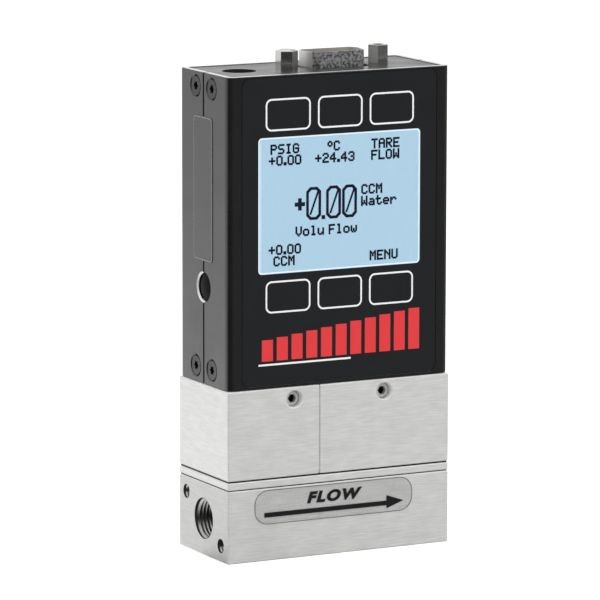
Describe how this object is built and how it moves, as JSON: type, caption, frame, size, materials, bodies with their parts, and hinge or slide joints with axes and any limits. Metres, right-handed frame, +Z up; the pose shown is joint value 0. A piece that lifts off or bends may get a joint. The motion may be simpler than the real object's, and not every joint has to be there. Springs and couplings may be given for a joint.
{
  "type": "liquid flow controller",
  "caption": "Inline liquid mass flow controller: brushed steel flow body with threaded ports, sensor and valve blocks, and a black housing with display, keys and serial connector.",
  "frame": {"origin": "bottom centre of the steel flow body", "axes": "+X the flow direction, inlet to outlet; +Y to the back; +Z up, towards the connectors"},
  "size_m": [0.0604, 0.0267, 0.1223],
  "materials": {
    "stainless_steel": "milled and brushed stainless steel",
    "inner_steel": "turned stainless steel",
    "black_anodised": "satin black anodised aluminium",
    "cap_anodised": "satin black anodised aluminium",
    "black_screw": "black oxide steel",
    "bright_screw": "plain stainless steel",
    "gasket_rubber": "black fluorocarbon rubber",
    "black_plastic": "moulded black plastic",
    "key_plastic": "moulded white plastic",
    "overlay_film": "satin black polyester film",
    "clear_window": "clear window, low gloss",
    "display_cell": "pale blue backlit display",
    "white_plastic": "white light guide",
    "circuit_board": "green glass-epoxy board",
    "copper_wire": "enamelled copper",
    "wire_jacket": "soft wire jacket",
    "bright_nickel": "bright nickel plate",
    "gold_pin": "gold flash",
    "label_film": "translucent grey film",
    "seal_film": "satin dark film"
  },
  "bodies": {
    "root": {"backlight": "white_plastic", "base_frame": "cap_anodised", "board_screws": "inner_steel", "cable_plug": "black_plastic", "coil_bobbin": "black_plastic", "coil_winding": "copper_wire", "coil_wires": "wire_jacket", "connector_insulator": "black_plastic", "connector_pins": "gold_pin", "connector_shell": "bright_nickel", "core_tube": "inner_steel", "display_board": "circuit_board", "display_glass": "display_cell", "display_window": "clear_window", "element_ring": "gasket_rubber", "flow_body": "stainless_steel", "flow_label": "label_film", "front_shell": "black_anodised", "jackscrews": "bright_nickel", "key_switches": "black_plastic", "keypad_overlay": "overlay_film", "laminar_element": "inner_steel", "lower_gasket": "gasket_rubber", "manifold_plate": "stainless_steel", "orifice_seat": "inner_steel", "pole_piece": "inner_steel", "power_jack": "black_plastic", "power_pin": "bright_nickel", "rear_shell": "black_anodised", "sensor_block": "stainless_steel", "sensor_capsule": "inner_steel", "sensor_rings": "gasket_rubber", "sensor_wires": "wire_jacket", "set_screws": "bright_screw", "side_label": "seal_film", "side_screws": "black_screw", "stack_screws": "bright_screw", "top_board": "circuit_board", "top_cap": "cap_anodised", "upper_gasket": "gasket_rubber", "valve_block": "stainless_steel", "valve_ring": "gasket_rubber", "valve_spring": "inner_steel", "wire_headers": "black_plastic"},
    "valve_plunger": {"valve_plunger": "inner_steel", "seat_pad": "gasket_rubber"},
    "key_1": {"key_stem_1": "key_plastic"},
    "key_2": {"key_stem_2": "key_plastic"},
    "key_3": {"key_stem_3": "key_plastic"},
    "key_4": {"key_stem_4": "key_plastic"},
    "key_5": {"key_stem_5": "key_plastic"},
    "key_6": {"key_stem_6": "key_plastic"}
  },
  "joints": [
    {"name": "valve_lift", "type": "slide", "parent": "root", "child": "valve_plunger", "axis": [0, 0, 1], "range_m": [0, 0.0004], "stiffness_N_per_m": 500, "springref_m": -0.001, "deforming": ["valve_spring"]},
    {"name": "key_1_press", "type": "slide", "parent": "root", "child": "key_1", "axis": [0, 1, 0], "range_m": [0, 0.00025], "stiffness_N_per_m": 2000, "springref_m": -0.0002},
    {"name": "key_2_press", "type": "slide", "parent": "root", "child": "key_2", "axis": [0, 1, 0], "range_m": [0, 0.00025], "stiffness_N_per_m": 2000, "springref_m": -0.0002},
    {"name": "key_3_press", "type": "slide", "parent": "root", "child": "key_3", "axis": [0, 1, 0], "range_m": [0, 0.00025], "stiffness_N_per_m": 2000, "springref_m": -0.0002},
    {"name": "key_4_press", "type": "slide", "parent": "root", "child": "key_4", "axis": [0, 1, 0], "range_m": [0, 0.00025], "stiffness_N_per_m": 2000, "springref_m": -0.0002},
    {"name": "key_5_press", "type": "slide", "parent": "root", "child": "key_5", "axis": [0, 1, 0], "range_m": [0, 0.00025], "stiffness_N_per_m": 2000, "springref_m": -0.0002},
    {"name": "key_6_press", "type": "slide", "parent": "root", "child": "key_6", "axis": [0, 1, 0], "range_m": [0, 0.00025], "stiffness_N_per_m": 2000, "springref_m": -0.0002}
  ]
}
